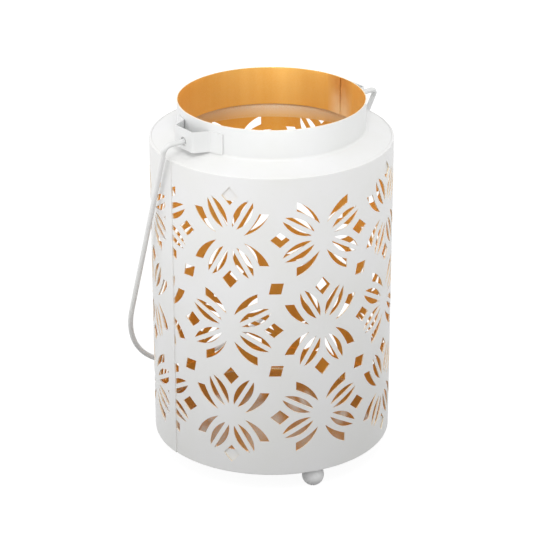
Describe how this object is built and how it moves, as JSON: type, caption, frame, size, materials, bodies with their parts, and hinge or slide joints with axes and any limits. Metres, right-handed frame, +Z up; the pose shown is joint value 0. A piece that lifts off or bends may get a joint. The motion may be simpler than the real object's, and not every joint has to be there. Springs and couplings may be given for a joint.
{
  "type": "candle lantern",
  "caption": "Round pierced sheet-metal candle lantern, white outside and gold inside, with flower cut-outs, an open neck, ball feet and a wire bail that swings over the top.",
  "frame": {"origin": "on the lantern's axis, at the surface that its feet stand on", "axes": "+Z up along the lantern's axis, +X along the bail's pivot towards the right bracket, +Y towards the side on which the bail hangs"},
  "size_m": [0.1448, 0.1338, 0.2024],
  "materials": {
    "white_paint": "satin white paint",
    "gold_paint": "satin metallic gold paint"
  },
  "bodies": {
    "lantern": {"body_shell": "white_paint", "shoulder_cap": "white_paint", "neck_ring": "white_paint", "base_pan": "gold_paint", "foot_right": "white_paint", "foot_back": "white_paint", "foot_front": "white_paint", "bracket_right": "white_paint", "bracket_left": "white_paint"},
    "bail": {"bail_handle": "white_paint"}
  },
  "joints": [
    {"name": "bail_swing", "type": "hinge", "parent": "lantern", "child": "bail", "pos_m": [0, 0, 0.1913], "axis": [1, 0, 0], "range_deg": [0, 315]}
  ]
}
